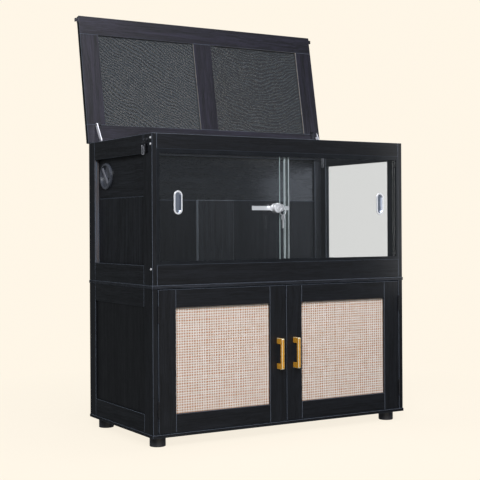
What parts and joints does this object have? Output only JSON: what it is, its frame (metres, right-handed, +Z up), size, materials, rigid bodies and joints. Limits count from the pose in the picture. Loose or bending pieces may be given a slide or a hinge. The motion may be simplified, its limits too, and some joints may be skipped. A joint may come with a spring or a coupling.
{
  "type": "reptile terrarium",
  "caption": "Black wooden reptile terrarium with mesh lid, sliding glass doors and side vent, on a cabinet stand with rattan doors.",
  "frame": {"origin": "floor under the middle of the whole bounding box, handles to raised lid", "axes": "+X to the right seen from the front, +Y to the back, +Z up; the doors face -Y"},
  "size_m": [0.9888, 0.6349, 1.412],
  "materials": {
    "black_laminate": "satin",
    "lid_mesh": "matte",
    "bright_steel": "satin",
    "black_steel": "satin",
    "clear_glass": "gloss",
    "rattan_weave": "matte",
    "brushed_gold": "satin",
    "chrome": "gloss",
    "black_plastic": "satin",
    "clear_plastic": "gloss",
    "black_rubber": "matte"
  },
  "bodies": {
    "stand": {"feet": "black_rubber", "cabinet_base": "black_laminate", "cabinet_top": "black_laminate", "cabinet_side_posts": "black_laminate", "cabinet_side_rails": "black_laminate", "cabinet_side_panels": "black_laminate", "cabinet_back": "black_laminate", "terrarium_floor": "black_laminate", "terrarium_posts": "black_laminate", "terrarium_side_rails": "black_laminate", "front_rails": "black_laminate", "rear_rail": "black_laminate", "back_boards": "black_laminate", "back_battens": "black_laminate", "left_wall_boards": "black_laminate", "side_window": "clear_glass", "upper_track": "black_plastic", "lower_track": "black_plastic", "track_jambs": "black_plastic", "vent_bezel": "black_plastic", "lid_hinge_plates": "black_steel", "door_hinge_plates": "black_steel", "stay_wall_plates": "black_steel", "latch_bases": "black_steel", "frame_screws": "bright_steel"},
    "lid": {"lid_rails": "black_laminate", "lid_stiles": "black_laminate", "lid_mesh": "lid_mesh", "lid_hinge_leaves": "black_steel", "lid_hooks": "black_steel", "stay_lid_brackets": "black_steel"},
    "stay_left_upper": {"stay_left_upper_link": "bright_steel"},
    "stay_left_lower": {"stay_left_lower_link": "bright_steel"},
    "stay_right_upper": {"stay_right_upper_link": "bright_steel"},
    "stay_right_lower": {"stay_right_lower_link": "bright_steel"},
    "pane_left": {"glass_left_pane": "clear_glass", "glass_left_pull": "chrome", "glass_left_seal": "clear_plastic", "ratchet_bar": "chrome"},
    "pane_right": {"glass_right_pane": "clear_glass", "glass_right_pull": "chrome"},
    "lock": {"lock_body": "chrome"},
    "key": {"lock_key": "bright_steel"},
    "ring": {"key_ring": "bright_steel"},
    "door_left": {"door_left_frame": "black_laminate", "door_left_rattan": "rattan_weave", "door_left_handle": "brushed_gold", "door_left_hinge_leaves": "black_steel"},
    "door_right": {"door_right_frame": "black_laminate", "door_right_rattan": "rattan_weave", "door_right_handle": "brushed_gold", "door_right_hinge_leaves": "black_steel"},
    "vent": {"vent_shutter": "black_plastic"},
    "latch_left_lever": {"latch_left_lever": "black_steel"},
    "latch_left_bail": {"latch_left_bail": "bright_steel"},
    "latch_right_lever": {"latch_right_lever": "black_steel"},
    "latch_right_bail": {"latch_right_bail": "bright_steel"}
  },
  "joints": [
    {"name": "lid_hinge", "type": "hinge", "parent": "stand", "child": "lid", "pos_m": [0, 0.20878, 0.962], "axis": [1, 0, 0], "range_deg": [0, 100.4]},
    {"name": "stay_left_upper_pivot", "type": "hinge", "parent": "lid", "child": "stay_left_upper", "pos_m": [-0.45115, 0.21079, 1.0267], "axis": [1, 0, 0], "range_deg": [-100.41, 0]},
    {"name": "stay_left_lower_pivot", "type": "hinge", "parent": "stand", "child": "stay_left_lower", "pos_m": [-0.45395, 0.17178, 0.905], "axis": [1, 0, 0], "range_deg": [0, 100.41]},
    {"name": "stay_right_upper_pivot", "type": "hinge", "parent": "lid", "child": "stay_right_upper", "pos_m": [0.46015, 0.21079, 1.0267], "axis": [1, 0, 0], "range_deg": [-100.41, 0]},
    {"name": "stay_right_lower_pivot", "type": "hinge", "parent": "stand", "child": "stay_right_lower", "pos_m": [0.46295, 0.17178, 0.905], "axis": [1, 0, 0], "range_deg": [0, 100.41]},
    {"name": "pane_left_slide", "type": "slide", "parent": "stand", "child": "pane_left", "axis": [1, 0, 0], "range_m": [0, 0.4]},
    {"name": "pane_right_slide", "type": "slide", "parent": "stand", "child": "pane_right", "axis": [1, 0, 0], "range_m": [-0.35, 0]},
    {"name": "lock_slide", "type": "slide", "parent": "pane_right", "child": "lock", "axis": [1, 0, 0], "range_m": [-0.05, 0]},
    {"name": "key_turn", "type": "hinge", "parent": "lock", "child": "key", "pos_m": [-0.0353, -0.29062, 0.735], "axis": [0, 1, 0], "range_deg": [0, 90]},
    {"name": "ring_swing", "type": "hinge", "parent": "key", "child": "ring", "pos_m": [-0.0353, -0.31612, 0.735], "axis": [1, 0, 0], "range_deg": [-20, 20]},
    {"name": "door_left_hinge", "type": "hinge", "parent": "stand", "child": "door_left", "pos_m": [-0.465, -0.28002, 0.264], "axis": [0, 0, 1], "range_deg": [-110, 0]},
    {"name": "door_right_hinge", "type": "hinge", "parent": "stand", "child": "door_right", "pos_m": [0.465, -0.28002, 0.264], "axis": [0, 0, 1], "range_deg": [0, 110]},
    {"name": "vent_turn", "type": "hinge", "parent": "stand", "child": "vent", "pos_m": [-0.4665, 0.09278, 0.845], "axis": [1, 0, 0], "range_deg": [0, 90]},
    {"name": "latch_left_lever_turn", "type": "hinge", "parent": "stand", "child": "latch_left_lever", "pos_m": [-0.488, -0.23522, 0.935], "axis": [0, 1, 0], "range_deg": [0, 60]},
    {"name": "latch_left_bail_turn", "type": "hinge", "parent": "latch_left_lever", "child": "latch_left_bail", "pos_m": [-0.4922, -0.23522, 0.926], "axis": [0, 1, 0], "range_deg": [0, 110]},
    {"name": "latch_right_lever_turn", "type": "hinge", "parent": "stand", "child": "latch_right_lever", "pos_m": [0.488, -0.23522, 0.935], "axis": [0, 1, 0], "range_deg": [-60, 0]},
    {"name": "latch_right_bail_turn", "type": "hinge", "parent": "latch_right_lever", "child": "latch_right_bail", "pos_m": [0.4922, -0.23522, 0.926], "axis": [0, 1, 0], "range_deg": [-110, 0]}
  ],
  "couplings": [
    {"joint": "stay_left_upper_pivot", "follows": "lid_hinge", "ratio": -1},
    {"joint": "stay_left_lower_pivot", "follows": "lid_hinge", "ratio": 1},
    {"joint": "stay_right_upper_pivot", "follows": "lid_hinge", "ratio": -1},
    {"joint": "stay_right_lower_pivot", "follows": "lid_hinge", "ratio": 1}
  ]
}
